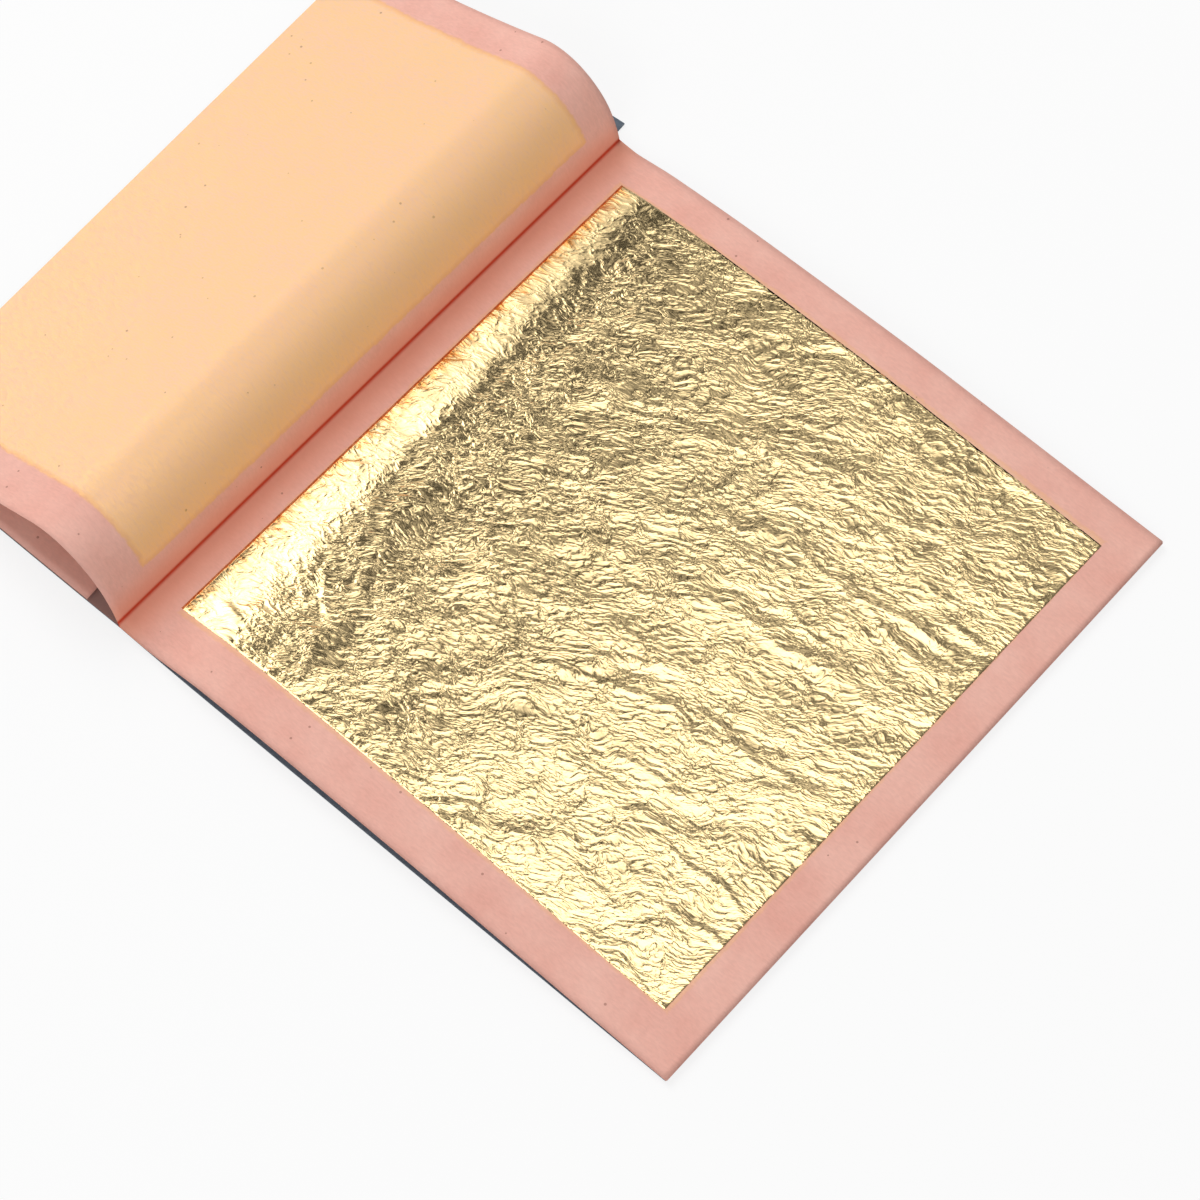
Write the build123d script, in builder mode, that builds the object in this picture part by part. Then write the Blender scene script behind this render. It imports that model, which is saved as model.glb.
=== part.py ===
from build123d import *
from math import cos, radians, sin, tan
import os

os.makedirs("parts", exist_ok=True)

# Materials and stack
card_thickness = 0.25
paper_thickness = 0.04
leaf_thickness = 0.01
stack_gap = 0.02
sheet_gap = 0.01
first_page = 1
last_page = 11

# Outline of the booklet
cover_width = 88.8
page_height = 92.5
page_overhang = 0.2
page_end = cover_width + page_overhang

# Gold leaf on its page, slightly turned
leaf_start = 4.5
leaf_outer_margin = 5.3
leaf_end_margin = 5.85
leaf_shift = 0.6
leaf_turn = -0.35
leaf_width = page_end - leaf_start - leaf_outer_margin
leaf_height = page_height - 2 * leaf_end_margin

# Spine: every sheet of the booklet turns about one line
spine_x = -cover_width / 2
hinge_height = 1.56
binding_margin = 0.5
cover_margin = 0.3
spine_rise = 0.6

# Back cover: flat, then lifted towards the spine
back_flat_share = 0.1804
back_flat_start = cover_width * back_flat_share

# Swell of the stacked sheets: from the spine up, over, and down to the outer edge
climb_turn = 6.5
climb_share = 0.135
climb_length = page_end * climb_share
crown_turn = 11.0
crown_share = 0.494
crown_length = page_end * crown_share

# Front cover, folded in half under itself along a skewed crease
front_rise = 0.25
fold_gap = 0.1
front_height = card_thickness + fold_gap
crease_share = 0.4741
crease_near = cover_width * crease_share
crease_seam = 0.02
fold_skew = 1.95

# Turned page: three bends as shares of the sheet, direction at their start and at their end
page_root_offset = 0.2
page_bend_shares = [
    (0.0597, 98.0, 112.0),
    (0.0743, 112.0, 148.0),
    (0.0856, 148.0, 204.0),
]
bend_seam = 0.03
span_overhang = 0.24
span_end_near = crease_near + span_overhang
span_end_height = 1.0
span_start_turn = 204.0
flap_share = 0.4213
flap_length = cover_width * flap_share
flap_height = 0.72
flap_tilt = 0.5
flap_seam = 0.1

# Two wire staples through the fold
wire_diameter = 0.3
crown_width = 12.0
staple_spacing = 46.0
staple_clearance = 0.02
staple_top = 1.45
clinch_length = 5.0

half_height = page_height / 2
sheet_pitch = paper_thickness + leaf_thickness + 2 * sheet_gap
skew_run = page_height * tan(radians(fold_skew))

# Side profiles are drawn with X from the spine and Y up, and run along the spine
profile_plane = Plane(origin=(spine_x, half_height, 0), x_dir=(1, 0, 0), z_dir=(0, -1, 0))


def save(solid, name):
    solid.part.label = name
    export_step(solid.part, f"parts/{name}.step")


def direction(angle):
    return Vector(cos(radians(angle)), sin(radians(angle)))


def bend(start, length, first, last):
    # Arc of a given length from one direction to another
    turn = last - first
    return JernArc(start=start, tangent=direction(first), radius=length / radians(abs(turn)), arc_size=turn)


def page_level(number):
    # Underside of a page where the stack is flat
    return card_thickness + stack_gap + (last_page - number) * sheet_pitch


def swell_line(level):
    # Side line of one sheet in the stack, the same for all of them
    start = Vector(binding_margin, level + spine_rise)
    climb = bend(start, climb_length, 0, climb_turn)
    crown = bend(climb @ 1, crown_length, climb_turn, climb_turn - crown_turn)
    fall_direction = direction(climb_turn - crown_turn)
    end = Vector(page_end, level)
    fall = TangentArc(crown @ 1, end, tangent=fall_direction)
    return [climb, crown, fall]


def draw_swell_sheet(level, thickness):
    # Closed side profile of one sheet in the stack
    lower = swell_line(level)
    upper = swell_line(level + thickness)
    Line(lower[0] @ 0, upper[0] @ 0)
    Line(lower[2] @ 1, upper[2] @ 1)


# Back cover: one flat card, lifted where it reaches the spine
with BuildPart() as back_cover:
    rise_run = back_flat_start - cover_margin
    rise_radius = (back_flat_start**2 + spine_rise**2) / (2 * spine_rise)
    rise_at_margin = rise_radius - (rise_radius**2 - rise_run**2) ** 0.5
    with BuildSketch(profile_plane):
        with BuildLine():
            lower_lift = TangentArc(
                (back_flat_start, 0), (cover_margin, rise_at_margin), tangent=(-1, 0)
            )
            upper_lift = TangentArc(
                (back_flat_start, card_thickness),
                (cover_margin, rise_at_margin + card_thickness),
                tangent=(-1, 0),
            )
            Line(lower_lift @ 1, upper_lift @ 1)
            Polyline(
                (back_flat_start, 0),
                (cover_width, 0),
                (cover_width, card_thickness),
                (back_flat_start, card_thickness),
            )
        make_face()
    extrude(amount=page_height)
save(back_cover, "back_cover")

# Front cover, half next to the spine
crease_start = Vector(spine_x - crease_near, -half_height)
crease_end = Vector(spine_x - crease_near - skew_run, half_height)
with BuildPart() as front_cover_inner:
    with BuildSketch(profile_plane):
        with BuildLine():
            lower_lift = TangentArc(
                (-back_flat_start, front_height),
                (-cover_margin, front_height + front_rise),
                tangent=(1, 0),
            )
            upper_lift = TangentArc(
                (-back_flat_start, front_height + card_thickness),
                (-cover_margin, front_height + card_thickness + front_rise),
                tangent=(1, 0),
            )
            Line(lower_lift @ 1, upper_lift @ 1)
            Polyline(
                (-back_flat_start, front_height),
                (-cover_width, front_height),
                (-cover_width, front_height + card_thickness),
                (-back_flat_start, front_height + card_thickness),
            )
        make_face()
    extrude(amount=page_height)
    # Cut off along the skewed crease
    with BuildSketch():
        with BuildLine():
            Polyline(
                crease_start + Vector(crease_seam, 0),
                crease_end + Vector(crease_seam, 0),
                (spine_x - 2 * cover_width, half_height),
                (spine_x - 2 * cover_width, -half_height),
                close=True,
            )
        make_face()
    extrude(amount=front_height + 2 * card_thickness, mode=Mode.SUBTRACT)
save(front_cover_inner, "front_cover_inner")


def folded_outline(start, end, near_length, seam):
    # Plan of a folded-under half: the rest of the sheet mirrored in the skewed fold
    across = direction(2 * fold_skew)
    far_length = near_length - skew_run
    return [
        start + across * seam,
        end + across * seam,
        end + across * far_length,
        start + across * near_length,
    ]


# Front cover, outer half folded under the inner half
with BuildPart() as front_cover_outer:
    with BuildSketch():
        with BuildLine():
            Polyline(*folded_outline(crease_start, crease_end, cover_width - crease_near, 0), close=True)
        make_face()
    extrude(amount=card_thickness)
save(front_cover_outer, "front_cover_outer")

# Pages of the stack
for number in range(first_page + 1, last_page + 1):
    with BuildPart() as page:
        with BuildSketch(profile_plane):
            with BuildLine():
                draw_swell_sheet(page_level(number), paper_thickness)
            make_face()
        extrude(amount=page_height)
    save(page, f"page_{number:02d}")

# Gold leaves, one on every page of the stack
for page_below in range(first_page + 1, last_page + 1):
    with BuildPart() as leaf:
        leaf_level = page_level(page_below) + paper_thickness + sheet_gap
        with BuildSketch(profile_plane):
            with BuildLine():
                draw_swell_sheet(leaf_level, leaf_thickness)
            make_face()
        extrude(amount=page_height)
        with BuildSketch(Plane.XY):
            with Locations((spine_x + leaf_start + leaf_width / 2, leaf_shift)):
                Rectangle(leaf_width, leaf_height, rotation=leaf_turn)
        extrude(amount=page_height, mode=Mode.INTERSECT)
    save(leaf, f"leaf_{page_below - first_page:02d}")

# Turned page: three bent strips that climb from the spine
root_direction = page_bend_shares[0][1]
bend_start = Vector(0, hinge_height) + direction(root_direction) * page_root_offset
for index, (share, first, last) in enumerate(page_bend_shares, 1):
    length = cover_width * share
    middle = direction((first + last) / 2)
    across = Vector(-middle.Y, middle.X) * paper_thickness
    clear_start = bend_start + direction(first) * bend_seam
    clear_first = first + (last - first) * bend_seam / length
    with BuildPart() as strip:
        with BuildSketch(profile_plane):
            with BuildLine():
                outer = bend(clear_start, length - bend_seam, clear_first, last)
                inner = bend(clear_start + across, length - bend_seam, clear_first, last)
                Line(outer @ 0, inner @ 0)
                Line(outer @ 1, inner @ 1)
            make_face()
        extrude(amount=page_height)
    save(strip, f"page_01_strip_{index}")
    bend_start = outer @ 1

# Turned page: long span down to the skewed fold
span_start = Vector(bend_start.X, bend_start.Y)
span_shift = Vector(0, paper_thickness)


def span_face(along, fold_distance):
    # Side profile of the span at one end of the page
    plane = Plane(origin=(spine_x, along, 0), x_dir=(1, 0, 0), z_dir=(0, -1, 0))
    start = span_start + direction(span_start_turn) * bend_seam
    end = Vector(-fold_distance, span_end_height)
    with BuildSketch(plane) as profile:
        with BuildLine():
            lower = TangentArc(start, end, tangent=direction(span_start_turn))
            upper = TangentArc(start + span_shift, end + span_shift, tangent=direction(span_start_turn))
            Line(lower @ 0, upper @ 0)
            Line(lower @ 1, upper @ 1)
        make_face()
    return profile.sketch


with BuildPart() as page_span:
    add(span_face(-half_height, span_end_near))
    add(span_face(half_height, span_end_near + skew_run))
    loft(ruled=True)
save(page_span, "page_01_span")

# Turned page: outer part folded under, lying on the front cover
with BuildPart() as page_flap:
    tilt = radians(flap_tilt)
    flap_plane = Plane(
        origin=(spine_x - span_end_near, 0, flap_height),
        x_dir=(cos(tilt), 0, sin(tilt)),
        z_dir=(-sin(tilt), 0, cos(tilt)),
    )
    with BuildSketch(flap_plane):
        with BuildLine():
            Polyline(
                *folded_outline(
                    Vector(0, -half_height), Vector(-skew_run, half_height), flap_length, flap_seam
                ),
                close=True,
            )
        make_face()
    extrude(amount=paper_thickness)
save(page_flap, "page_01_flap")

# Two wire staples through the fold
with BuildPart() as staples:
    wire_radius = wire_diameter / 2
    crown_height = card_thickness + staple_clearance + wire_radius
    top_height = staple_top - wire_radius
    for middle in (-staple_spacing / 2, staple_spacing / 2):
        with BuildLine() as wire:
            FilletPolyline(
                (spine_x, middle - crown_width / 2 + clinch_length, top_height),
                (spine_x, middle - crown_width / 2, top_height),
                (spine_x, middle - crown_width / 2, crown_height),
                (spine_x, middle + crown_width / 2, crown_height),
                (spine_x, middle + crown_width / 2, top_height),
                (spine_x, middle + crown_width / 2 - clinch_length, top_height),
                radius=wire_diameter,
            )
        with BuildSketch(Plane(origin=wire.line @ 0, z_dir=wire.line % 0)):
            Circle(wire_radius)
        sweep(path=wire.line)
save(staples, "staples")
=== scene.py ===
import math

import bpy
import numpy as np
from mathutils import Matrix, Vector, noise


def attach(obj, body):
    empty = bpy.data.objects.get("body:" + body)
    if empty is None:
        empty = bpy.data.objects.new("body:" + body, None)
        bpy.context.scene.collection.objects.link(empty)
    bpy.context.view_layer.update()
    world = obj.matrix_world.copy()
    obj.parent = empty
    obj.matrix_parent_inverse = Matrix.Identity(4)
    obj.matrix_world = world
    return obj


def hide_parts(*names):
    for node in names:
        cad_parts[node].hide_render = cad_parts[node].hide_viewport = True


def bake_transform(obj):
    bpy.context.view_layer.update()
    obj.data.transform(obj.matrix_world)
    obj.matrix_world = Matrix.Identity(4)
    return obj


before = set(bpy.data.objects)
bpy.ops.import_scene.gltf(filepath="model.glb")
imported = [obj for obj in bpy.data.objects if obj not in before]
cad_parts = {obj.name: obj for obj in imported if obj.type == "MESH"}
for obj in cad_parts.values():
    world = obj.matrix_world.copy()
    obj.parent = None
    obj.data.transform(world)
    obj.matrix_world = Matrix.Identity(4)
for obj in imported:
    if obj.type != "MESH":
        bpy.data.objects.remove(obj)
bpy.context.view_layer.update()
bpy.context.scene.view_settings.view_transform = "Standard"
print("frame loaded")

# sizes in mm, angles in degrees unless a note says otherwise
booklet = {
    "coverWidth": 88.8,
    "pageWidth": 89.0,
    "pageHeight": 92.5,
    "topPage": 2,           # number of the page that the loose leaf lies on
    "lastPage": 11,
    "cardThickness": 0.25,
    "paperThickness": 0.04,
    "leafThickness": 0.004,
    "sheetPitch": 0.07,
    "topPageLevel": 0.90,   # underside of the top page where the stack is flat
    "bindingMargin": 0.5,
    "spineRise": 0.6,
    "hingeHeight": 1.56,
    "creaseShare": 0.4741,  # of the cover's width, at the near end
    "creaseTurn": 1.95,
}

mm = 0.001
uvUnit = 100                                # a sheet's UV map counts in this many mm
spineX = -booklet["coverWidth"] / 2         # the fold line of the booklet, in the frame's own X
halfHeight = booklet["pageHeight"] / 2      # along the fold
creaseTan = math.tan(math.radians(booklet["creaseTurn"]))


# small helpers

def linearColor(code):
    # sRGB hex to linear
    parts = [int(code[i:i + 2], 16) / 255 for i in (1, 3, 5)]
    return [p / 12.92 if p <= 0.04045 else ((p + 0.055) / 1.055) ** 2.4 for p in parts] + [1.0]


def addNode(tree, kind, links=None, **settings):
    # links: input name or number -> value, or (node, output)
    new = tree.nodes.new(kind)
    for key, value in settings.items():
        setattr(new, key, value)
    for key, value in (links or {}).items():
        if isinstance(value, tuple) and isinstance(value[0], bpy.types.Node):
            tree.links.new(value[0].outputs[value[1]], new.inputs[key])
        else:
            new.inputs[key].default_value = value
    return new


def mathNode(tree, operation, *values):
    return addNode(tree, "ShaderNodeMath", dict(enumerate(values)), operation=operation), 0


def vectorNode(tree, operation, *values):
    return addNode(tree, "ShaderNodeVectorMath", dict(enumerate(values)), operation=operation), 0


def scaledNode(tree, vector, scale):
    return addNode(tree, "ShaderNodeVectorMath", {0: vector, "Scale": scale}, operation="SCALE"), 0


def rangeNode(tree, value, ends, results=(0.0, 1.0), smooth=False):
    # a value between the two ends becomes one between the two results
    links = {"Value": value, "From Min": ends[0], "From Max": ends[1]}
    links.update({"To Min": results[0], "To Max": results[1]})
    kind = "SMOOTHSTEP" if smooth else "LINEAR"
    return addNode(tree, "ShaderNodeMapRange", links, interpolation_type=kind), 0


def mixNode(tree, share, first, second):
    return addNode(tree, "ShaderNodeMix", {0: share, 6: first, 7: second}, data_type="RGBA"), 2


def noiseNode(tree, vector, scale, detail, roughness=0.5, distortion=0.0):
    links = {"Vector": vector, "Scale": scale, "Detail": detail}
    links.update({"Roughness": roughness, "Distortion": distortion})
    return addNode(tree, "ShaderNodeTexNoise", links)


def rampNode(tree, value, stops):
    # stops: positions and colours, from first to last
    ramp = addNode(tree, "ShaderNodeValToRGB", {0: value})
    elements = ramp.color_ramp.elements
    for element, (position, code) in zip(elements, (stops[0], stops[-1])):
        element.position = position
        element.color = linearColor(code)
    for position, code in stops[1:-1]:
        elements.new(position).color = linearColor(code)
    return ramp, 0


def newMaterial(name):
    material = bpy.data.materials.new(name)
    material.use_nodes = True
    material.node_tree.nodes.clear()
    return material, material.node_tree


def flatSheetMm(tree):
    # place on the flat sheet, in mm from the fold and from the near end
    uv = addNode(tree, "ShaderNodeUVMap", uv_map="flatSheet")
    return vectorNode(tree, "MULTIPLY", (uv, 0), (uvUnit, uvUnit, uvUnit))


def selectNothing():
    if bpy.context.object and bpy.context.object.mode != "OBJECT":
        bpy.ops.object.mode_set(mode="OBJECT")
    bpy.ops.object.select_all(action="DESELECT")


def gradedSteps(start, end, step, finest=0.02, growth=1.8):
    # columns that close up towards both ends, so that neighbouring pieces shade alike where they meet
    length = end - start
    edge = [0.0]
    width = finest
    while width < step and edge[-1] + width < length / 3:
        edge.append(edge[-1] + width)
        width *= growth
    middle = max(1, int(round((length - 2 * edge[-1]) / step)))
    inner = np.linspace(edge[-1], length - edge[-1], middle + 1)[1:-1]
    return start + np.array(edge + list(inner) + [length - e for e in reversed(edge)])


def makeSheet(name, columns, rows, place, thickness, material, flip=False):
    # a grid laid out by place(s, t) and given its thickness; columns are one list, or one list for each row
    selectNothing()
    columns = np.asarray(columns)
    count = columns.shape[-1]
    bpy.ops.mesh.primitive_grid_add(x_subdivisions=count - 1, y_subdivisions=len(rows) - 1, size=2)
    sheet = bpy.context.object
    sheet.name = name
    mesh = sheet.data
    mesh.name = name
    s = np.broadcast_to(columns, (len(rows), count)).flatten()
    t = np.repeat(rows, count)
    x, y, z = place(s, t)
    points = np.stack([x + spineX, y, z], 1) * mm
    mesh.vertices.foreach_set("co", points.ravel())
    corners = np.empty(len(mesh.loops), int)
    mesh.loops.foreach_get("vertex_index", corners)
    flat = np.stack([s[corners], t[corners] + halfHeight], 1) / uvUnit
    mesh.uv_layers[0].name = "flatSheet"
    mesh.uv_layers[0].data.foreach_set("uv", flat.ravel())
    mesh.update()
    if flip:
        bpy.ops.object.mode_set(mode="EDIT")
        bpy.ops.mesh.select_all(action="SELECT")
        bpy.ops.mesh.flip_normals()
        bpy.ops.object.mode_set(mode="OBJECT")
    shell = sheet.modifiers.new("paperThickness", "SOLIDIFY")
    shell.thickness = thickness * mm
    shell.offset = -1
    bpy.ops.object.modifier_apply(modifier=shell.name)
    bpy.ops.object.shade_smooth()
    sheet.data.materials.append(material)
    return sheet


# side profiles: chains of arcs, each as (length, direction at its start, direction at its end)

def walkArcs(start, arcs, s, beyond=1e9, backReach=50):
    # points and directions at distances s; the first and the last arc are carried on past their ends
    x = np.zeros_like(s)
    z = np.zeros_like(s)
    angle = np.zeros_like(s)
    px, pz = start
    done = 0.0
    for number, (length, first, last) in enumerate(arcs):
        a, b = math.radians(first), math.radians(last)
        lower = -beyond if number == 0 else done
        upper = beyond if number == len(arcs) - 1 else done + length
        inside = (s >= lower) & (s < upper)
        run = np.clip(s[inside] - done, -backReach, length)
        past = s[inside] - done - run
        radius = length / (b - a) if a != b else beyond
        theta = a + (b - a) * run / length
        x[inside] = px + radius * (np.sin(theta) - math.sin(a)) + past * np.cos(theta)
        z[inside] = pz - radius * (np.cos(theta) - math.cos(a)) + past * np.sin(theta)
        angle[inside] = theta
        px += radius * (math.sin(b) - math.sin(a))
        pz -= radius * (math.cos(b) - math.cos(a))
        done += length
    return x, z, angle


def arcTo(start, direction, end):
    # the arc from start in that direction that reaches end
    dx, dz = end[0] - start[0], end[1] - start[1]
    chord = math.degrees(math.atan2(dz, dx))
    half = (chord - direction + 180) % 360 - 180
    length = math.hypot(dx, dz)
    if half:
        length *= math.radians(half) / math.sin(math.radians(half))
    return (length, direction, direction + 2 * half)


# the stack: how its sheets lie

stackShape = {
    "climbShare": 0.135,    # of the page's width
    "climbTurn": 6.5,
    "crownShare": 0.494,
    "crownTurn": 11.0,
    "columns": 120,
    "rows": 70,
    "tailColumns": 8,
    "topTail": -0.04,       # where the sheets start at the fold
    "lowerTail": 0.03,
    "tailLift": 0.05,
    "waveStartShare": 0.15,
    "waves": [(0.05, 17, 1.3, 2.2), (0.02, 9.5, -0.6, 4.1)],    # height, length, phase, turn across the page
}

# how much steeper than the plain swell the loose sheets run
looseSlopes = {
    "s": [0, 1, 3, 4, 5, 9.5, 12.5, 16, 20, 26, 34, 45, 60, 75, 88],    # distance from the fold
    "degrees": [0, -6, -6, 2.5, 6.5, 5, -2, -2.5, -2, -3, -1.5, 1, 1.5, 0.5, 0],
    "drift": 0.04,          # how far the slopes move towards the fold for each mm along it
    "driftFull": 8,         # the drift grows up to this distance from the fold
    "range": (-5, 100),
    "step": 0.25,
}

stackStart = (booklet["bindingMargin"], booklet["spineRise"])


def swellArcs():
    top = stackShape["climbTurn"]
    down = top - stackShape["crownTurn"]
    climb = (stackShape["climbShare"] * booklet["pageWidth"], 0.0, top)
    crown = (stackShape["crownShare"] * booklet["pageWidth"], top, down)
    x, z, _ = walkArcs(stackStart, [climb, crown], np.array([climb[0] + crown[0]]))
    fall = arcTo((x[0], z[0]), down, (booklet["pageWidth"], 0.0))
    return [climb, crown, fall]


stackArcs = swellArcs()
stackLength = sum(length for length, _, _ in stackArcs)

looseSteps = np.arange(*looseSlopes["range"], looseSlopes["step"])
looseAngles = np.interp(looseSteps, looseSlopes["s"], looseSlopes["degrees"])
looseRise = np.cumsum(np.tan(np.radians(looseAngles))) * looseSlopes["step"]
looseRise -= np.interp(0, looseSteps, looseRise)


def softWave(s, t):
    # gentle lift of the loose sheets, never below the flat stack
    start = stackShape["waveStartShare"]
    u = np.clip(s / booklet["pageWidth"], 0, 1)
    lift = 0
    for height, length, phase, turn in stackShape["waves"]:
        lift = lift + height * (0.5 + 0.5 * np.sin(t / length + phase + turn * u))
    return np.clip((u - start) / (1 - start), 0, 1) * lift


def looseSwell(s, t):
    drift = looseSlopes["drift"] * t * np.clip(s / looseSlopes["driftFull"], 0, 1)
    return np.interp(s + drift, looseSteps, looseRise)


def stackPlace(level, normalLift=None):
    # where a point of a stacked sheet lies: s from the fold, t along it
    def place(s, t):
        margin = booklet["bindingMargin"]
        x, z, angle = walkArcs(stackStart, stackArcs, s - margin)
        tail = s < margin
        drop = margin - s[tail]
        x[tail] = s[tail]
        rise = np.sin(np.clip(drop / margin, 0, 1) * np.pi / 2)
        z[tail] = booklet["spineRise"] + stackShape["tailLift"] * rise
        z = z + level + softWave(s, t) + looseSwell(s, t)
        if normalLift is not None:
            lift = normalLift(s, t)
            x = x - np.sin(angle) * lift
            z = z + np.cos(angle) * lift
        return x, t.copy(), z
    return place


def sheetTop(number):
    # upper side of a page of the stack where the stack is flat
    below = (number - booklet["topPage"]) * booklet["sheetPitch"]
    return booklet["topPageLevel"] + booklet["paperThickness"] - below


# materials

tissueLook = {
    "pink": "#E7B0A1",
    "paler": "#EBB8A9",
    "deeper": "#E3A899",
    "speck": "#7A4A3E",
    "trace": "#F4C99F",
    "tracePink": "#F5C7A8",
    "traceRim": "#EAB07F",
    # the trace colour next below is painted shade of the fold
    "traceFoldShade": "#F6BE82",
    # the two fold colours below are partly rouge and partly painted shade and red bounce light of the fold
    "inFoldRougeAndShade": "#CC4A2E",
    "nearFoldRougeAndShade": "#EC9C80",
    "dust": "#F2C27C",
    "blotch": (1 / 9.0, 4.0, 0.6),          # noise settings: scale per mm, detail, roughness, distortion
    "blotchStops": (0.32, 0.5, 0.68),
    "fibre": (1 / 0.3, 2.0, 0.5, 0.6),
    "fibreLayers": [(0.35, 3.2), (1.35, 2.6), (2.4, 3.6)],      # turn in radians, stretch
    "fibreRange": (1.2, 1.8),               # of the three layers' sum
    "fibreTone": (0.955, 1.035),
    "foldLine": (-0.05, 0.5),               # rouge and painted red shade in the fold, between these distances from it
    "flush": (0.6, 5.5),                    # paler rouge and painted red bounce light beside it
    "flushShare": 0.75,
    "traceFoldShadeReach": (5.0, 22.0),               # deeper, more orange colour of the trace near the fold: painted shade of the fold
    "traceFoldShadeShare": 0.6,
    "traceFade": (-0.12, 0.25),             # distances inside the trace's edge
    "rim": (0.1, 0.9),
    "edgeWander": (0.55, 5.0, 0.7),
    "edgeWanderMm": 1.1,
    "thin": (0.16, 6.0, 0.68),              # where the trace is thin
    "thinRange": (0.42, 0.66),
    "thinShare": 0.8,
    "speckScale": 0.42,
    "speckSizes": (0.3, 0.0),
    "speckRange": (0.36, 0.62),
    "speckSize": 0.075,
    "speckShare": 0.5,
    "dustRange": (1.3, 1.7),
    "dustShares": (0.05, 0.42),
    "fine": (4.0, 3.0, 0.6),
    "reliefMm": 0.05,
    "reliefStrength": 0.12,
    "roughness": 0.82,
}


def traceEdge(tree, inMm, box):
    # distance inside a box on the flat sheet, with a wandering edge
    wander = noiseNode(tree, inMm, *tissueLook["edgeWander"])
    shift = vectorNode(tree, "ADD", (wander, 1), (-0.5, -0.5, -0.5))
    moved = vectorNode(tree, "ADD", inMm, scaledNode(tree, shift, tissueLook["edgeWanderMm"]))
    left, right, near, far = box
    fromCentre = vectorNode(tree, "SUBTRACT", moved, ((left + right) / 2, (near + far) / 2, 0))
    size = vectorNode(tree, "ABSOLUTE", fromCentre)
    inside = vectorNode(tree, "SUBTRACT", ((right - left) / 2, (far - near) / 2, 0), size)
    split = addNode(tree, "ShaderNodeSeparateXYZ", {0: inside})
    return mathNode(tree, "MINIMUM", (split, 0), (split, 1))


def paperFibres(tree, inMm):
    # three layers of drawn-out noise, turned against each other
    total = None
    for turn, stretch in tissueLook["fibreLayers"]:
        links = {"Vector": inMm, "Rotation": (0, 0, turn), "Scale": (1 / stretch, 1, 1)}
        turned = addNode(tree, "ShaderNodeMapping", links)
        layer = noiseNode(tree, (turned, 0), *tissueLook["fibre"])
        total = (layer, 0) if total is None else mathNode(tree, "ADD", total, (layer, 0))
    return total


def tissueMaterial(name, traceBox, traceShare):
    # rouge-dusted tissue: soft, matt and fibrous, with the peach-gold trace that a leaf leaves on it
    material, tree = newMaterial(name)
    look = tissueLook
    color = {key: linearColor(value) for key, value in look.items() if isinstance(value, str)}
    inMm = flatSheetMm(tree)
    blotch = noiseNode(tree, inMm, *look["blotch"])
    tones = (look["deeper"], look["pink"], look["paler"])
    base = rampNode(tree, (blotch, 0), list(zip(look["blotchStops"], tones)))
    fibres = paperFibres(tree, inMm)
    fibreShare = rangeNode(tree, fibres, look["fibreRange"], look["fibreTone"])
    fibred = scaledNode(tree, base, fibreShare)
    # rouge towards the fold, with painted shade and red bounce light of the fold
    across = (addNode(tree, "ShaderNodeSeparateXYZ", {0: inMm}), 0)
    nearShare = rangeNode(tree, across, look["flush"], (look["flushShare"], 0.0), smooth=True)
    foldShare = rangeNode(tree, across, look["foldLine"], (1.0, 0.0), smooth=True)
    flushedAndShaded = mixNode(tree, nearShare, fibred, color["nearFoldRougeAndShade"])
    rougedAndShaded = mixNode(tree, foldShare, flushedAndShaded, color["inFoldRougeAndShade"])
    # the trace of the leaf, thinner in places and deeper at its rim; its deeper, more orange tone near the
    # fold is painted shade
    edge = traceEdge(tree, inMm, traceBox)
    mask = rangeNode(tree, edge, look["traceFade"], (0.0, traceShare))
    rim = rangeNode(tree, edge, look["rim"], (1.0, 0.0))
    thin = noiseNode(tree, inMm, *look["thin"])
    thinShare = rangeNode(tree, (thin, 0), look["thinRange"], (0.0, look["thinShare"]))
    gilt = mixNode(tree, thinShare, color["trace"], color["tracePink"])
    # painted shade of the fold on the trace
    traceShadeShare = rangeNode(tree, across, look["traceFoldShadeReach"], (look["traceFoldShadeShare"], 0.0), smooth=True)
    giltFoldShaded = mixNode(tree, traceShadeShare, gilt, color["traceFoldShade"])
    giltFibred = scaledNode(tree, giltFoldShaded, fibreShare)
    traceTone = mixNode(tree, rim, giltFibred, color["traceRim"])
    colored = mixNode(tree, mask, rougedAndShaded, traceTone)
    # dark specks of different sizes
    specks = addNode(tree, "ShaderNodeTexVoronoi", {"Vector": inMm, "Scale": look["speckScale"]})
    sizes = noiseNode(tree, inMm, *look["speckSizes"])
    limit = rangeNode(tree, (sizes, 0), look["speckRange"], (0.0, look["speckSize"]))
    isSpeck = mathNode(tree, "LESS_THAN", (specks, 0), limit)
    specked = mixNode(tree, mathNode(tree, "MULTIPLY", isSpeck, look["speckShare"]), colored, color["speck"])
    fine = noiseNode(tree, inMm, *look["fine"])
    height = mathNode(tree, "ADD", (fine, 0), fibres)
    bump = addNode(tree, "ShaderNodeBump", {
        "Height": height, "Strength": look["reliefStrength"], "Distance": look["reliefMm"] * mm,
    })
    paper = addNode(tree, "ShaderNodeBsdfPrincipled", {
        "Base Color": specked, "Roughness": look["roughness"], "IOR": 1.45, "Specular IOR Level": 0.25,
        "Normal": (bump, 0),
    })
    # gold dust left in the trace: thin glints between the fibres
    dust = addNode(tree, "ShaderNodeBsdfPrincipled", {
        "Base Color": color["dust"], "Metallic": 1.0, "Roughness": 0.5, "Normal": (bump, 0),
    })
    glint = rangeNode(tree, fibres, look["dustRange"], look["dustShares"])
    dustAndPaintedBounce = mathNode(tree, "MULTIPLY", glint, mask)
    blend = addNode(tree, "ShaderNodeMixShader", {0: dustAndPaintedBounce, 1: (paper, 0), 2: (dust, 0)})
    addNode(tree, "ShaderNodeOutputMaterial", {0: (blend, 0)})
    return material


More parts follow.
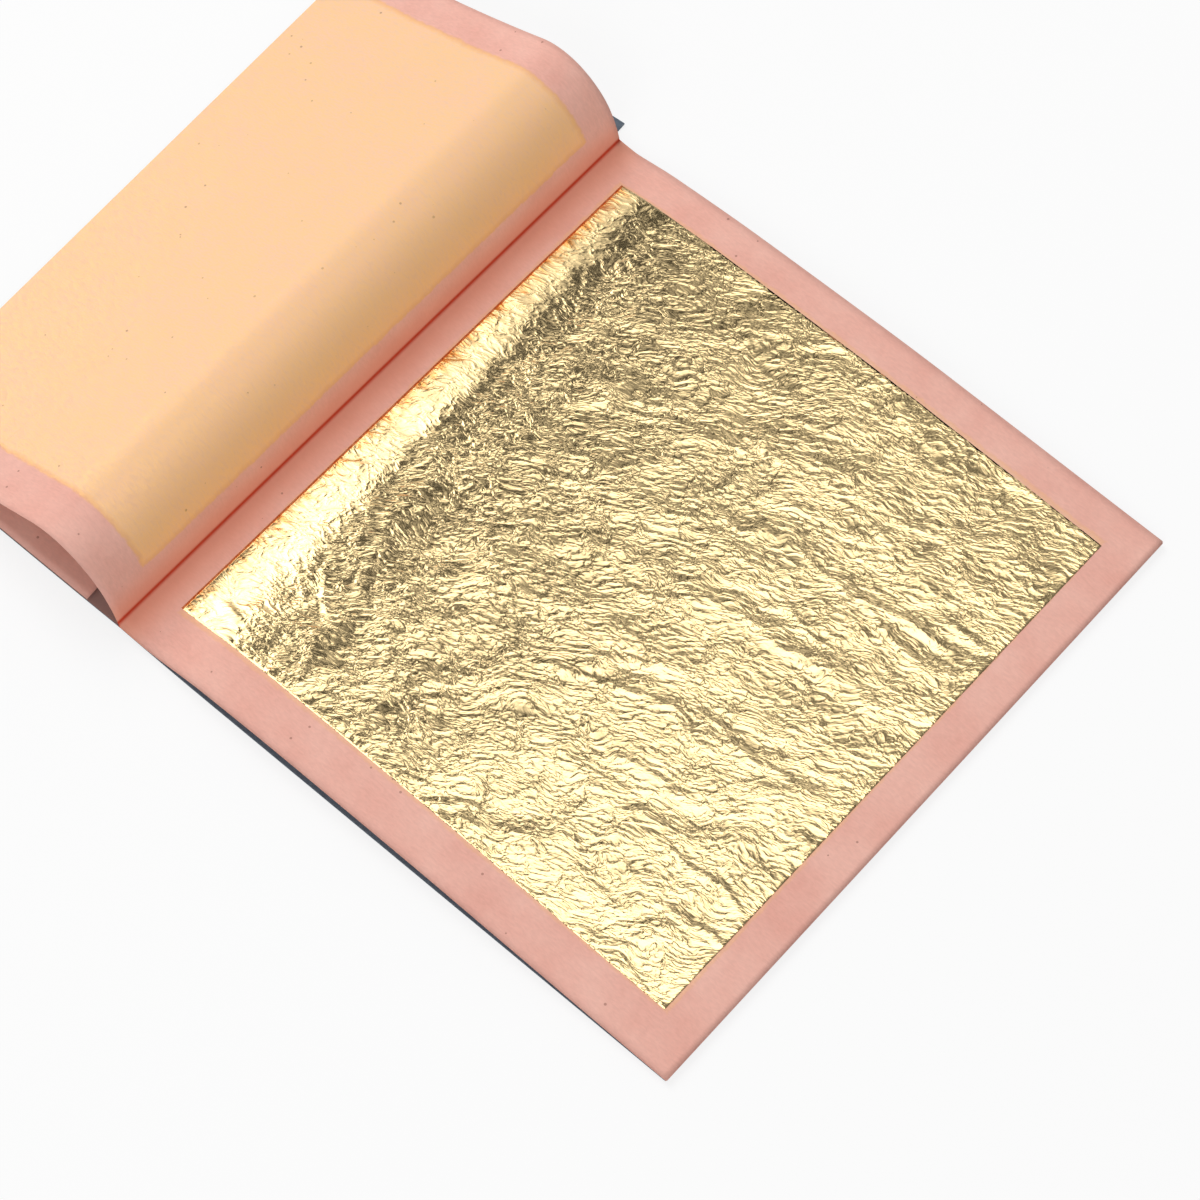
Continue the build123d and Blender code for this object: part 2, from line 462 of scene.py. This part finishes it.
cardLook = {
    "slate": "#66727E",
    "deep": "#56616D",
    # mauve-pink next below: painted pink bounce light and shade of the hollow
    "dustAndPaintedBounce": "#9A766C",
    "grainMm": 1.0,
    "reliefMm": 0.03,
    "roughness": 0.7,
}


def cardMaterial(name, paintedBounceShare):
    # solid-dyed cover card: matt slate blue with a fine fibre grain; its upward face can take painted pink
    # bounce light and shade
    material, tree = newMaterial(name)
    place = addNode(tree, "ShaderNodeTexCoord")
    grain = noiseNode(tree, (place, "Object"), 1 / (cardLook["grainMm"] * mm), 4.0, 0.65)
    tone = rampNode(tree, (grain, 0), [(0.35, cardLook["deep"]), (0.65, cardLook["slate"])])
    # painted pink bounce light and shade of the hollow on the face that looks up
    facing = addNode(tree, "ShaderNodeSeparateXYZ", {0: (place, "Normal")})
    inner = rangeNode(tree, (facing, 2), (0.5, 0.7), (0.0, paintedBounceShare))
    dustAndPaintedBounce = mixNode(tree, inner, tone, linearColor(cardLook["dustAndPaintedBounce"]))
    bump = addNode(tree, "ShaderNodeBump", {
        "Height": (grain, 0), "Strength": 0.3, "Distance": cardLook["reliefMm"] * mm,
    })
    card = addNode(tree, "ShaderNodeBsdfPrincipled", {
        "Base Color": dustAndPaintedBounce, "Roughness": cardLook["roughness"], "IOR": 1.47, "Normal": (bump, 0),
    })
    addNode(tree, "ShaderNodeOutputMaterial", {0: (card, 0)})
    return material


foilLook = {
    "gold": "#FFE2A8",
    "roughness": 0.14,
    "wrinkleTurn": 24,      # from square to the fold
    "wrinkleScale": 1.0,    # per mm, across the wrinkles
    "wrinkleStretch": 1.9,
    "wanderMm": 5.0,
    "wander": (0.11, 2.0),  # noise settings: scale per mm, detail, roughness, distortion
    "grain": (2.1, 1.0, 0.62, 0.3),
    "grainShare": 1.1,
    "crumpleScale": 1.1,
    "crumpleShare": 0.35,
    "patch": (1 / 8.0, 2.0, 0.6, 0.5),
    "patchRelief": 16.0,
    "reliefMm": 0.056,
    "taut": (8.5, 14.0),    # drawn taut over the rise next to the fold, up to these distances from it
    "tautShare": 0.35,
    "fringeShade": "#F0A256",    # torn edge next to the fold, tinted orange: painted shade and pink bounce light of the lifted edge
    "tear": (1.0, 3.0, 0.65),
    "tearStretch": (0.3, 1.2, 1),
    "fringeMm": 1.1,
    "fringeSpreadMm": 11.0,
    "fringeFadeMm": 3.0,
    "fringeShare": 0.95,
}


def foilRelief(tree, inMm):
    # wrinkles, fine grain and crumples that run out from the fold, over broader slack patches
    look = foilLook
    drift = noiseNode(tree, inMm, *look["wander"])
    centred = vectorNode(tree, "ADD", (drift, 1), (-0.5, -0.5, -0.5))
    warped = vectorNode(tree, "MULTIPLY_ADD", centred, (look["wanderMm"], look["wanderMm"], 0), inMm)
    turned = addNode(tree, "ShaderNodeMapping", {
        "Vector": warped, "Rotation": (0, 0, -math.radians(look["wrinkleTurn"])),
    })
    drawn = (addNode(tree, "ShaderNodeMapping", {
        "Vector": (turned, 0), "Scale": (1 / look["wrinkleStretch"], 1, 1),
    }), 0)
    wrinkle = addNode(tree, "ShaderNodeTexNoise", {
        "Vector": drawn, "Scale": look["wrinkleScale"], "Detail": 2.0, "Roughness": 0.55,
        "Lacunarity": 2.1, "Offset": 0.9, "Gain": 1.6, "Distortion": 0.25,
    }, noise_type="RIDGED_MULTIFRACTAL", normalize=True)
    grain = noiseNode(tree, drawn, *look["grain"])
    crumple = addNode(tree, "ShaderNodeTexVoronoi", {"Vector": drawn, "Scale": look["crumpleScale"]})
    patch = noiseNode(tree, drawn, *look["patch"])
    grained = mathNode(tree, "MULTIPLY_ADD", (grain, 0), look["grainShare"], (wrinkle, 0))
    crumpled = mathNode(tree, "MULTIPLY_ADD", (crumple, 0), look["crumpleShare"], grained)
    return mathNode(tree, "MULTIPLY_ADD", (patch, 0), look["patchRelief"], crumpled)


def foilMaterial():
    # beaten gold leaf: mirror-bright metal, broken up by fine crinkles from beating and lifting
    material, tree = newMaterial("beatenGoldLeaf")
    look = foilLook
    inMm = flatSheetMm(tree)
    across = (addNode(tree, "ShaderNodeSeparateXYZ", {0: inMm}), 0)
    taut = rangeNode(tree, across, look["taut"], (look["tautShare"], 1.0), smooth=True)
    bump = addNode(tree, "ShaderNodeBump", {
        "Height": foilRelief(tree, inMm), "Strength": taut, "Distance": look["reliefMm"] * mm,
    })
    # the orange at the torn edge by the fold is painted shade and pink bounce light
    torn = addNode(tree, "ShaderNodeMapping", {"Vector": inMm, "Scale": look["tearStretch"]})
    tear = noiseNode(tree, (torn, 0), *look["tear"])
    tearDepth = mathNode(tree, "MULTIPLY_ADD", (tear, 0), look["fringeSpreadMm"], look["fringeMm"])
    left = mathNode(tree, "SUBTRACT", tearDepth, across)
    fringeShare = rangeNode(tree, left, (0.0, look["fringeFadeMm"]), (0.0, look["fringeShare"]))
    edgeShadeTinted = mixNode(tree, fringeShare, linearColor(look["gold"]), linearColor(look["fringeShade"]))
    gold = addNode(tree, "ShaderNodeBsdfPrincipled", {
        "Base Color": edgeShadeTinted, "Metallic": 1.0, "Roughness": look["roughness"], "Normal": (bump, 0),
    })
    addNode(tree, "ShaderNodeOutputMaterial", {0: (gold, 0)})
    return material


wireLook = {"zinc": "#B9BABC", "unevenScale": 9000.0, "roughness": (0.25, 0.42)}


def wireMaterial():
    # drawn zinc-coated wire: bright grey metal, a little uneven in its polish
    material, tree = newMaterial("drawnZincWire")
    place = addNode(tree, "ShaderNodeTexCoord")
    uneven = noiseNode(tree, (place, "Object"), wireLook["unevenScale"], 2.0)
    polish = rangeNode(tree, (uneven, 0), (0.0, 1.0), wireLook["roughness"])
    wire = addNode(tree, "ShaderNodeBsdfPrincipled", {
        "Base Color": linearColor(wireLook["zinc"]), "Metallic": 1.0, "Roughness": polish,
    })
    addNode(tree, "ShaderNodeOutputMaterial", {0: (wire, 0)})
    return material


# a leaf on its page; the traces are boxes: start and end from the fold, near and far from the near end
leafShape = {"start": 4.5, "outerMargin": 5.3, "endMargin": 5.85, "shift": 0.6, "turn": -0.35}
traceBoxes = {"turned": (4.3, 83.9, 6.2, 87.4), "stacked": (4.2, 84.0, 5.95, 87.85)}
leafStart = leafShape["start"]
leafEnd = booklet["pageWidth"] - leafShape["outerMargin"]
leafNear = leafShape["endMargin"] + leafShape["shift"]
leafFar = booklet["pageHeight"] - leafShape["endMargin"] + leafShape["shift"]

turnedTissue = tissueMaterial("rougeTissueWithTrace", traceBoxes["turned"], 0.95)
stackTissue = tissueMaterial("rougeTissue", traceBoxes["stacked"], 0.45)
slateCard = cardMaterial("solidDyedSlateCard", 0.0)
# the inner front cover takes painted pink bounce light and shade on its upward face
bounceShadedCard = cardMaterial("slateCardWithPaintedPinkBounce", 0.85)
goldLeaf = foilMaterial()
zincWire = wireMaterial()
print("materials made")


# covers and staples keep their CAD shape

for name in ("back_cover", "front_cover_inner", "front_cover_outer"):
    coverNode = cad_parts[name]
    coverNode.data.materials.clear()
    coverNode.data.materials.append(bounceShadedCard if name == "front_cover_inner" else slateCard)

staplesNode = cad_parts["staples"]
staplesNode.data.materials.clear()
staplesNode.data.materials.append(zincWire)


# stacked pages

# how far each page lies off its place, across and along, from the top page down
pageShifts = [
    (0, 0), (-0.06, 0.05), (0.05, -0.06), (-0.025, 0.1), (0.06, -0.1),
    (-0.05, 0.02), (0.03, 0.08), (-0.01, -0.08), (0.05, 0.04), (-0.04, -0.03),
]
margin = booklet["bindingMargin"]
pageColumns = np.linspace(margin, stackLength + margin, stackShape["columns"])
pageRows = np.linspace(-halfHeight, halfHeight, stackShape["rows"])
for number in range(booklet["topPage"], booklet["lastPage"] + 1):
    isTop = number == booklet["topPage"]
    tailStart = stackShape["topTail"] if isTop else stackShape["lowerTail"]
    tail = np.linspace(tailStart, margin, stackShape["tailColumns"])[:-1]
    columns = np.concatenate([tail, pageColumns])
    follow = stackPlace(sheetTop(number))
    page = makeSheet(f"page{number:02d}", columns, pageRows, follow, booklet["paperThickness"], stackTissue)
    across, along = pageShifts[number - booklet["topPage"]]
    page.data.transform(Matrix.Translation((across * mm, along * mm, 0)))
    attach(page, "top_page" if isTop else f"page_{number:02d}_with_leaf")
    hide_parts(f"page_{number:02d}")
print("stacked pages made")


# gold leaves

foilShape = {
    "columns": 215,
    "quickColumns": 60,
    "hiddenColumns": 40,
    "liftMm": 0.014,            # clear of the page below
    "crinkleMm": 0.045,
    "crinkleLengthMm": 11.0,
    "crinkleWidthMm": 4.2,
    "noiseLayer": 0.3,
    "swayScale": 0.4,
    "sway": (1.0, 0.8),
    "ridges": (0.9, 2.1, 3, 0.8, 1.8),  # exponent, lacunarity, octaves, offset and gain of the noise
    "foldEnds": 0.04,           # share of a fold's length that is cut off its rounded ends
    "foldFullness": 0.6,
    "steepSide": 0.55,
    "gentleSide": 1.6,
    "folds": [                  # points along each fold on the flat page, width and height
        ([(61.0, 61.5), (66.0, 61.5), (72.5, 63.5), (78.0, 63.6), (83.0, 65.0)], 0.55, 0.26),
        ([(64.0, 62.8), (72.0, 60.4), (79.0, 60.0)], 0.5, 0.16),
        ([(76.0, 66.5), (84.0, 67.0)], 0.7, 0.16),
        ([(47.6, 83.6), (49.2, 87.8)], 0.5, 0.2),
        ([(15.4, 21.0), (17.6, 18.6), (21.3, 16.2)], 0.42, 0.24),
        ([(13.6, 12.5), (15.5, 16.6), (16.8, 18.4)], 0.4, 0.22),
        ([(7.8, 10.6), (12.0, 10.0)], 0.45, 0.2),
        ([(68.0, 22.0), (74.0, 21.5), (78.5, 22.5), (84.0, 20.5)], 0.45, 0.2),
        ([(77.0, 15.0), (80.5, 17.0), (84.2, 16.8)], 0.4, 0.18),
        ([(42.0, 29.5), (48.0, 31.5), (54.0, 34.0), (59.5, 36.0), (63.0, 34.6)], 0.4, 0.15),
        ([(64.0, 37.5), (70.0, 37.0), (78.0, 38.5)], 0.4, 0.15),
        ([(56.0, 26.0), (62.0, 27.5), (68.5, 28.0)], 0.4, 0.13),
        ([(58.0, 56.0), (64.0, 54.0), (70.0, 54.5)], 0.4, 0.12),
        ([(30.0, 84.0), (33.0, 80.0), (35.0, 76.5)], 0.4, 0.1),
        ([(55.0, 70.0), (61.0, 71.0), (66.0, 69.5)], 0.45, 0.12),
    ],
}


def crinkleHeights(s, t):
    # ridged noise drawn out square to the fold, in its own units
    turn = math.radians(foilLook["wrinkleTurn"])
    along = (s * math.cos(turn) + t * math.sin(turn)) / foilShape["crinkleLengthMm"]
    across = (-s * math.sin(turn) + t * math.cos(turn)) / foilShape["crinkleWidthMm"]
    swayAlong, swayAcross = foilShape["sway"]
    heights = np.empty(len(s))
    for i in range(len(s)):
        point = Vector((along[i], across[i], foilShape["noiseLayer"]))
        sway = noise.noise(point * foilShape["swayScale"])
        point += Vector((sway * swayAlong, sway * swayAcross, 0))
        heights[i] = noise.ridged_multi_fractal(point, *foilShape["ridges"])
    return heights


def foldRidge(s, t, points, width):
    # one sharp fold along a chain of points, steeper on one side than on the other
    total = sum(math.dist(a, b) for a, b in zip(points, points[1:]))
    ridge = np.zeros(len(s))
    done = 0.0
    for a, b in zip(points, points[1:]):
        dx, dy = b[0] - a[0], b[1] - a[1]
        fromX, fromY = s - a[0], t + halfHeight - a[1]
        length = math.hypot(dx, dy)
        run = np.clip((fromX * dx + fromY * dy) / length, 0, length)
        off = (fromY * dx - fromX * dy) / length
        away = np.hypot(fromX - dx * run / length, fromY - dy * run / length)
        share = np.clip((done + run) / total, foilShape["foldEnds"], 1 - foilShape["foldEnds"])
        rise = np.sin(np.pi * share) ** foilShape["foldFullness"]
        spread = width * np.where(off > 0, foilShape["steepSide"], foilShape["gentleSide"])
        ridge = np.maximum(ridge, rise * np.exp(-(away / spread) ** 2))
        done += length
    return ridge


def foilLift(s, t):
    # crinkles that run out from the fold, and single sharper folds
    heights = crinkleHeights(s, t)
    shares = (heights - heights.min()) / (heights.max() - heights.min())
    lift = foilShape["liftMm"] + foilShape["crinkleMm"] * shares
    for points, width, height in foilShape["folds"]:
        lift = lift + height * foldRidge(s, t, points, width)
    return lift


def flatLift(s, t):
    return np.full(len(s), foilShape["liftMm"])


def leafPlace(level, lift):
    # a leaf lies turned a little on its page
    follow = stackPlace(level, lift)
    turn = math.radians(leafShape["turn"])
    middleS = (leafStart + leafEnd) / 2
    middleT = (leafNear + leafFar) / 2 - halfHeight

    def place(s, t):
        ds, dt = s - middleS, t - middleT
        turnedS = middleS + ds * math.cos(turn) - dt * math.sin(turn)
        turnedT = middleT + ds * math.sin(turn) + dt * math.cos(turn)
        return follow(turnedS, turnedT)
    return place


for number in range(1, booklet["lastPage"]):
    isTop = number == 1
    count = foilShape["hiddenColumns"]
    if isTop:
        count = foilShape["columns"]
    columns = np.linspace(leafStart, leafEnd, count)
    rows = np.linspace(leafNear, leafFar, count) - halfHeight
    place = leafPlace(sheetTop(number + 1), foilLift if isTop else flatLift)
    leaf = makeSheet(f"goldLeaf{number:02d}", columns, rows, place, booklet["leafThickness"], goldLeaf)
    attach(leaf, "gold_leaf" if isTop else f"page_{number + 1:02d}_with_leaf")
    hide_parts(f"leaf_{number:02d}")
print("gold leaves made")


# turned page: arched over to the left and folded under along a skewed crease

turnedPage = {
    "rootOffset": 0.2,
    "bends": [(0.0597, 98.0, 112.0), (0.0743, 112.0, 148.0), (0.0856, 148.0, 204.0)],   # share, start, end
    "spanStart": 204.0,
    "foldOverhang": 0.24,       # beyond the crease of the cover
    "foldHeight": 1.02,
    "foldRadius": 0.12,
    "flapTilt": 0.5,
    "flapSlide": 0.068,         # for each mm of the flap, about the sine of twice the crease's turn
    "length": 88.45,
    "tail": -0.4,
    "step": 0.4,
    "rows": 90,
    "bendReach": 2.4,           # half the length over which the sheet flexes at a joint
    "spanReach": 3.4,
    "spanLength": 14,           # of the span that is in the span's own piece; the rest is in the flap's
    "creaseBlend": (0.99, 0.79),    # heights between which the sheet flexes at the fold
    "creaseColumns": (-0.1, 0.6, 15),
    "creaseStep": 0.05,
    "creaseFinest": 0.002,
    "flapColumns": 40,
}

bendArcs = [(share * booklet["coverWidth"], first, last) for share, first, last in turnedPage["bends"]]
bendEdges = np.cumsum([0] + [length for length, _, _ in bendArcs])
bendLength = bendEdges[-1]
rootAngle = math.radians(bendArcs[0][1])
rootPoint = (
    turnedPage["rootOffset"] * math.cos(rootAngle),
    booklet["hingeHeight"] + turnedPage["rootOffset"] * math.sin(rootAngle),
)
bendEndX, bendEndZ, _ = walkArcs(rootPoint, bendArcs, np.array([bendLength]))
creaseNear = booklet["creaseShare"] * booklet["coverWidth"]
foldNear = creaseNear + turnedPage["foldOverhang"]
turnedRows = np.linspace(-halfHeight, halfHeight, turnedPage["rows"])


def foldPlace(t):
    # where the fold lies at t along it
    return -(foldNear + (t + halfHeight) * creaseTan)


def spanArc(t):
    # from the last bend down to the fold
    end = (foldPlace(t), turnedPage["foldHeight"])
    return arcTo((bendEndX[0], bendEndZ[0]), turnedPage["spanStart"], end)


def turnedPlace(s, t):
    # the sheet runs over the bends and the span, then around the fold and back under itself
    x, y, z = np.empty_like(s), t.copy(), np.empty_like(s)
    skew = math.radians(booklet["creaseTurn"])
    tilt = math.radians(turnedPage["flapTilt"])
    radius = turnedPage["foldRadius"]
    for value in np.unique(t):
        row = np.flatnonzero(t == value)
        span = spanArc(value)
        x[row], z[row], _ = walkArcs(rootPoint, bendArcs + [span], s[row])
        beyond = s[row] - (bendLength + span[0])
        part = row[beyond > 0]
        d = beyond[beyond > 0] * math.cos(skew)
        foot = value + d * math.sin(skew)
        around = np.clip(d / (math.pi * radius), 0, 1) * math.pi
        along = np.maximum(d - math.pi * radius, 0)
        reach = along * math.cos(tilt) - radius * np.sin(around)
        x[part] = foldPlace(foot) + reach * math.cos(skew)
        y[part] = foot + reach * math.sin(skew) - turnedPage["flapSlide"] * d
        z[part] = turnedPage["foldHeight"] - radius * (1 - np.cos(around)) + along * math.sin(tilt)
    return x, y, z


def turnedPiece(name, columns):
    thickness = booklet["paperThickness"]
    return makeSheet(name, columns, turnedRows, turnedPlace, thickness, turnedTissue, flip=True)


def flexAt(piece, joint, reach):
    # works out the points on either side of the joint, then bakes the piece's placement into its mesh
    x, _, z = turnedPlace(np.array([joint - reach, joint + reach]), np.zeros(2))
    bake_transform(piece)


def flapSteps(t, start):
    # columns of one row, close together where the row goes around the fold
    crease = bendLength + spanArc(t)[0]
    near, far, count = turnedPage["creaseColumns"]
    before = gradedSteps(0, 1, turnedPage["creaseStep"], turnedPage["creaseFinest"])[:-1]
    after = np.linspace(0, 1, turnedPage["flapColumns"])[1:]
    return np.concatenate([
        start + before * (crease + near - start),
        crease + np.linspace(near, far, count),
        crease + far + after * (turnedPage["length"] - crease - far),
    ])


middles = (bendEdges[:-1] + bendEdges[1:]) / 2
spanEnd = bendLength + turnedPage["spanLength"]
step = turnedPage["step"]

root = turnedPiece("turnedPageRoot", gradedSteps(turnedPage["tail"], middles[0], step))
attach(root, "turned_page_root")
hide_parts("page_01_strip_1")

bendOne = turnedPiece("turnedPageBend", gradedSteps(middles[0], middles[1], step))
flexAt(bendOne, bendEdges[1], turnedPage["bendReach"])
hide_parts("page_01_strip_2")

bendTwo = turnedPiece("turnedPageCrest", gradedSteps(middles[1], middles[2], step))
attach(bendTwo, "turned_page_bend")
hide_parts("page_01_strip_3")

bendThree = turnedPiece("turnedPageSpan", gradedSteps(middles[2], spanEnd, step))
flexAt(bendThree, bendLength, turnedPage["spanReach"])
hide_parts("page_01_span")

flap = turnedPiece("turnedPageFlap", [flapSteps(t, spanEnd) for t in turnedRows])
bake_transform(flap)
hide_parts("page_01_flap")
print("turned page made")


# bends of the cover card at the spine and at the crease

cardBends = {
    "columns": 13,
    "rows": 40,
    "spine": {"middle": (0.0, 0.1), "radius": 0.76, "turn": (67.0, 113.0), "skew": 0.0},
    "crease": {"middle": (-creaseNear, 0.3), "radius": 0.3, "turn": (90.0, 270.0), "skew": creaseTan},
}


def bentCard(name, shape):
    # a narrow bend that joins two parts of the card
    first, last = shape["turn"]
    middleX, middleZ = shape["middle"]

    def place(s, t):
        theta = np.radians(first + (last - first) * s)
        x = middleX - shape["skew"] * (t + halfHeight) + shape["radius"] * np.cos(theta)
        return x, t.copy(), middleZ + shape["radius"] * np.sin(theta)

    columns = np.linspace(0, 1, cardBends["columns"])
    rows = np.linspace(-halfHeight, halfHeight, cardBends["rows"])
    piece = makeSheet(name, columns, rows, place, booklet["cardThickness"], slateCard, flip=True)
    x, _, z = place(np.array([0.0, 1.0]), np.zeros(2))
    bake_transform(piece)


bentCard("coverSpineBend", cardBends["spine"])
bentCard("coverCreaseBend", cardBends["crease"])
print("card bends made")


# studio: white floor, soft lamps, camera as in the photograph; its distances are in metres unless noted

def directionTo(azimuth, elevation):
    az, el = math.radians(azimuth), math.radians(elevation)
    return Vector((math.cos(el) * math.cos(az), math.cos(el) * math.sin(az), math.sin(el)))


cameraSetup = {
    "target": (-2.61, -4.68, 0.0),  # target and distance in mm
    "distance": 495.0,
    "azimuth": -45.70,
    "elevation": 63.39,
    "roll": -3.0,
    "sensorMm": 36,
    "focalShare": 4038 / 1200,      # focal length as a share of the sensor's width
    "clip": (0.01, 10),
}


def addCamera():
    back = directionTo(cameraSetup["azimuth"], cameraSetup["elevation"])
    right = Vector((0, 0, 1)).cross(back).normalized()
    up = back.cross(right)
    roll = math.radians(cameraSetup["roll"])
    turnedRight = math.cos(roll) * right + math.sin(roll) * up
    turnedUp = -math.sin(roll) * right + math.cos(roll) * up
    place = (Vector(cameraSetup["target"]) + back * cameraSetup["distance"]) * mm
    bpy.ops.object.camera_add()
    camera = bpy.context.object
    facing = Matrix((turnedRight, turnedUp, back)).transposed().to_4x4()
    camera.matrix_world = Matrix.Translation(place) @ facing
    camera.data.sensor_width = cameraSetup["sensorMm"]
    camera.data.lens = cameraSetup["sensorMm"] * cameraSetup["focalShare"]
    camera.data.clip_start, camera.data.clip_end = cameraSetup["clip"]
    bpy.context.scene.camera = camera


# the floor looks plain white, and takes only a soft shadow
floorLook = {"size": 6, "drop": 0.00002, "grey": 0.85, "glowShare": 0.8}


def addFloor():
    selectNothing()
    bpy.ops.mesh.primitive_plane_add(size=floorLook["size"], location=(0, 0, -floorLook["drop"]))
    floor = bpy.context.object
    floor.name = "studioFloor"
    material, tree = newMaterial("paleStudioPaper")
    path = addNode(tree, "ShaderNodeLightPath")
    grey = floorLook["grey"]
    matt = addNode(tree, "ShaderNodeBsdfDiffuse", {"Color": (grey, grey, grey, 1)})
    glow = addNode(tree, "ShaderNodeEmission", {"Color": (1, 1, 1, 1), "Strength": 1.0})
    seen = mathNode(tree, "MULTIPLY", (path, "Is Camera Ray"), floorLook["glowShare"])
    mixed = addNode(tree, "ShaderNodeMixShader", {0: seen, 1: (matt, 0), 2: (glow, 0)})
    addNode(tree, "ShaderNodeOutputMaterial", {0: (mixed, 0)})
    floor.data.materials.append(material)


# no mirror-like surface sees the lamps; power in watts
lamps = {
    "keySoftbox": {"azimuth": 165, "elevation": 48, "distance": 1.2, "side": 0.7, "power": 8.0},
    "fillSoftbox": {"azimuth": -70, "elevation": 35, "distance": 1.4, "side": 0.8, "power": 4.5},
}


def addLamp(name, setup):
    direction = directionTo(setup["azimuth"], setup["elevation"])
    lamp = bpy.data.lights.new(name, "AREA")
    lamp.shape = "RECTANGLE"
    lamp.size = setup["side"]
    lamp.size_y = setup["side"]
    lamp.energy = setup["power"]
    placed = bpy.data.objects.new(name, lamp)
    placed.location = direction * setup["distance"]
    placed.rotation_euler = direction.to_track_quat("Z", "Y").to_euler()
    placed.visible_glossy = False
    bpy.context.collection.objects.link(placed)


reflectionCard = {
    "size": 9,
    "height": 0.9,
    "base": 0.035,
    "contrast": 1.6,
    "gain": 0.69,
    "panels": [     # strength, edge, turn of the edge line, softness; distances as shares of the height
        (1.0, 0.75, 143, 0.09),
        (0.4, -0.5, -30, 0.02),
        (1.65, -0.35, -98, 0.1),
    ],
    "flag": (0.9, -0.45, 20, 0.12),
}


def addReflectionCard():
    # a graded white card overhead that only mirror-like surfaces see
    selectNothing()
    height = reflectionCard["height"]
    bpy.ops.mesh.primitive_plane_add(size=reflectionCard["size"], location=(0, 0, height))
    card = bpy.context.object
    card.name = "reflectionCard"
    material, tree = newMaterial("gradedReflectionCard")
    place = addNode(tree, "ShaderNodeTexCoord")
    split = addNode(tree, "ShaderNodeSeparateXYZ", {0: (place, "Object")})

    def distanceFrom(degrees, edge, softness):
        # signed distance from a line across the card, in soft edge widths
        turn = math.radians(degrees)
        perMetre = 1 / height / softness
        part = mathNode(tree, "MULTIPLY_ADD", (split, 0), math.cos(turn) * perMetre, -edge / softness)
        return mathNode(tree, "MULTIPLY_ADD", (split, 1), math.sin(turn) * perMetre, part)

    # each panel rises softly from its edge line
    lit = reflectionCard["base"]
    for strength, edge, turn, softness in reflectionCard["panels"]:
        away = mathNode(tree, "MULTIPLY", distanceFrom(turn, edge, softness), -1.0)
        slope = mathNode(tree, "ADD", mathNode(tree, "EXPONENT", away), 1.0)
        lit = mathNode(tree, "ADD", mathNode(tree, "DIVIDE", strength, slope), lit)
    # the flag takes a soft dark stripe out of them
    depth, edge, turn, softness = reflectionCard["flag"]
    across = distanceFrom(turn, edge, softness)
    squared = mathNode(tree, "MULTIPLY", across, across)
    bell = mathNode(tree, "EXPONENT", mathNode(tree, "MULTIPLY", squared, -0.5))
    shade = mathNode(tree, "MULTIPLY_ADD", bell, -depth, 1.0)
    level = mathNode(tree, "MULTIPLY", lit, shade)
    steep = mathNode(tree, "POWER", level, reflectionCard["contrast"])
    final = mathNode(tree, "MULTIPLY", steep, reflectionCard["gain"])
    glow = addNode(tree, "ShaderNodeEmission", {"Color": (1, 1, 1, 1), "Strength": final})
    addNode(tree, "ShaderNodeOutputMaterial", {0: (glow, 0)})
    material.cycles.emission_sampling = "NONE"
    card.data.materials.append(material)
    card.visible_camera = False
    card.visible_diffuse = False
    card.visible_transmission = False
    card.visible_shadow = False


roomLook = {"white": (1, 1, 1, 1), "strength": 0.5}


def addRoom():
    world = bpy.data.worlds.new("studioRoom")
    world.use_nodes = True
    background = world.node_tree.nodes["Background"]
    background.inputs["Color"].default_value = roomLook["white"]
    background.inputs["Strength"].default_value = roomLook["strength"]
    bpy.context.scene.world = world
    world.cycles_visibility.glossy = False   # the reflection card stands in for it


addCamera()
addFloor()
for name, setup in lamps.items():
    addLamp(name, setup)
addReflectionCard()
addRoom()
print("studio set")
